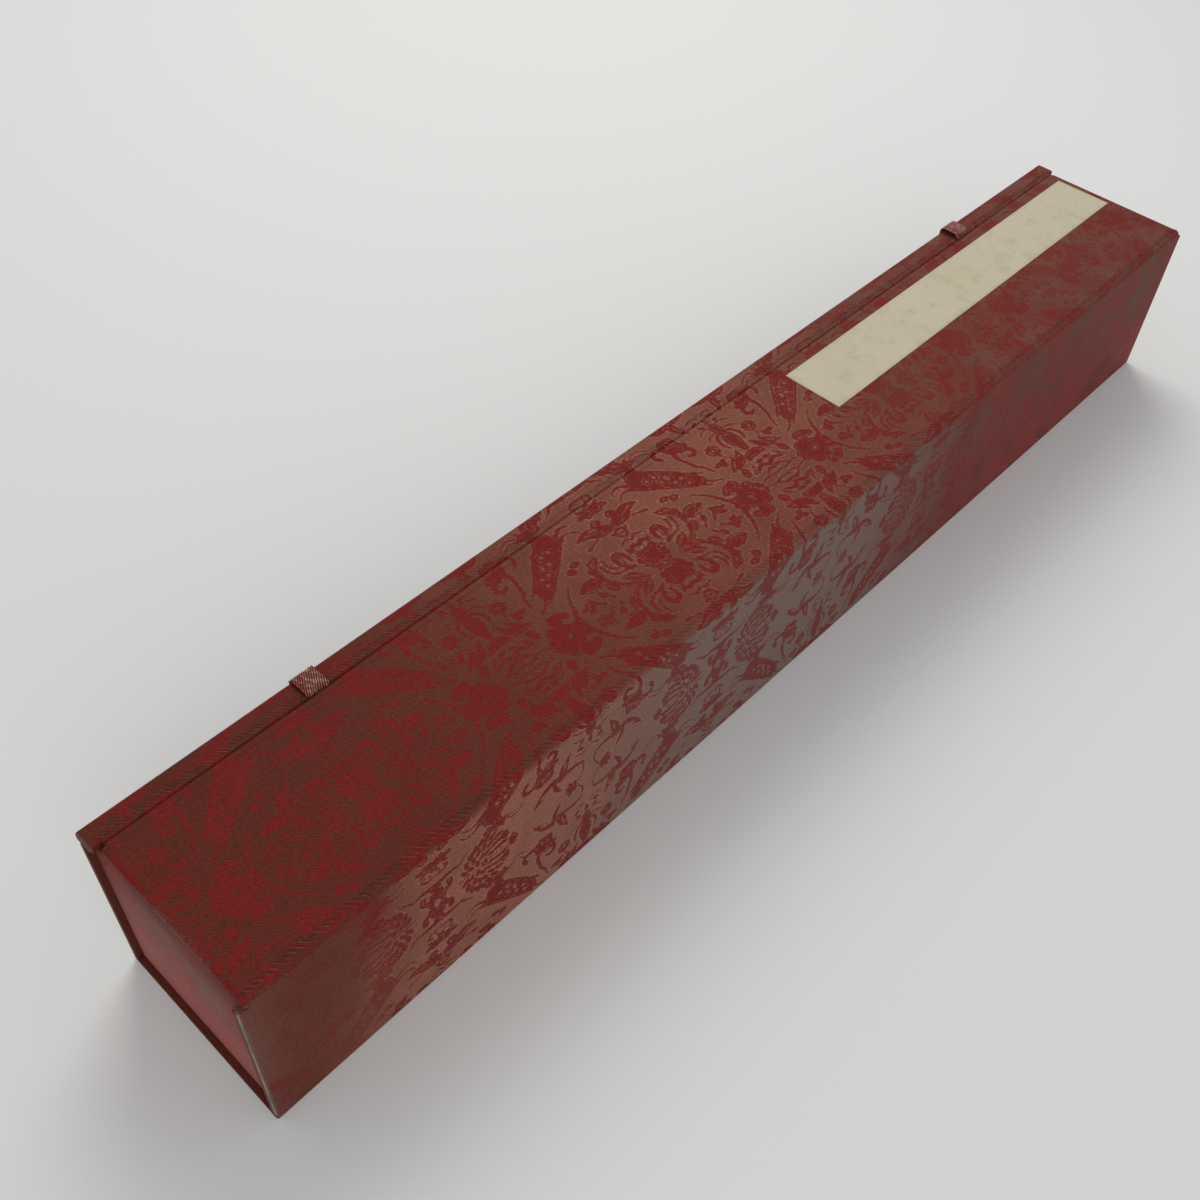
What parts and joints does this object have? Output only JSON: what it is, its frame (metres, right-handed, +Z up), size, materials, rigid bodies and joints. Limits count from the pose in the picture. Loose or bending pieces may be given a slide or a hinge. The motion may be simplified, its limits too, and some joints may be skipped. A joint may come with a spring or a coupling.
{
  "type": "scroll box",
  "caption": "Long square cloth-covered case for a hanging scroll, with a hinged lid, a folding lip along its free edge, and straps with bone pins that tuck behind cloth keepers.",
  "frame": {"origin": "middle of the base's resting face", "axes": "+X from the front board to the back board, +Y along the length towards the title slip, +Z up"},
  "size_m": [0.0918, 0.606, 0.091],
  "materials": {
    "pasteboard": "dense grey paper board",
    "damask": "silk damask, red figure on a brown ground, low sheen",
    "lining": "plain pasted lining cloth, matt",
    "slip_paper": "aged paper, matt",
    "tape": "ribbed silk tape",
    "bone": "polished bone"
  },
  "bodies": {
    "case": {"base_board": "pasteboard", "base_cover": "damask", "base_lining": "lining", "back_board": "pasteboard", "back_cover": "damask", "back_lining": "lining", "front_board": "pasteboard", "front_cover": "damask", "front_lining": "lining", "near_end_board": "pasteboard", "near_end_cover": "damask", "near_end_lining": "lining", "far_end_board": "pasteboard", "far_end_cover": "damask", "far_end_lining": "lining", "near_keeper": "tape", "far_keeper": "tape"},
    "lid": {"lid_board": "pasteboard", "lid_cover": "damask", "lid_lining": "lining", "title_slip": "slip_paper", "groove_cloth": "damask"},
    "lip": {"lip_board": "pasteboard", "lip_cover": "damask", "lip_lining": "lining", "near_tape": "tape", "far_tape": "tape"},
    "near_strap": {"near_strap": "tape"},
    "near_pin": {"near_pin": "bone"},
    "far_strap": {"far_strap": "tape"},
    "far_pin": {"far_pin": "bone"}
  },
  "joints": [
    {"name": "lid_hinge", "type": "hinge", "parent": "case", "child": "lid", "pos_m": [0.0435, 0, 0.08435], "axis": [0, 1, 0], "range_deg": [0, 180]},
    {"name": "lip_fold", "type": "hinge", "parent": "lid", "child": "lip", "pos_m": [-0.0342, 0, 0.0876], "axis": [0, 1, 0], "range_deg": [0, 70]},
    {"name": "near_strap_swing", "type": "hinge", "parent": "lip", "child": "near_strap", "pos_m": [-0.045, -0.21, 0.08585], "axis": [0, 1, 0], "range_deg": [0, 110]},
    {"name": "near_pin_swing", "type": "hinge", "parent": "near_strap", "child": "near_pin", "pos_m": [-0.04604, -0.21, 0.0627], "axis": [0, 1, 0], "range_deg": [0, 100]},
    {"name": "far_strap_swing", "type": "hinge", "parent": "lip", "child": "far_strap", "pos_m": [-0.045, 0.21, 0.08585], "axis": [0, 1, 0], "range_deg": [0, 110]},
    {"name": "far_pin_swing", "type": "hinge", "parent": "far_strap", "child": "far_pin", "pos_m": [-0.04604, 0.21, 0.0627], "axis": [0, 1, 0], "range_deg": [0, 100]}
  ]
}
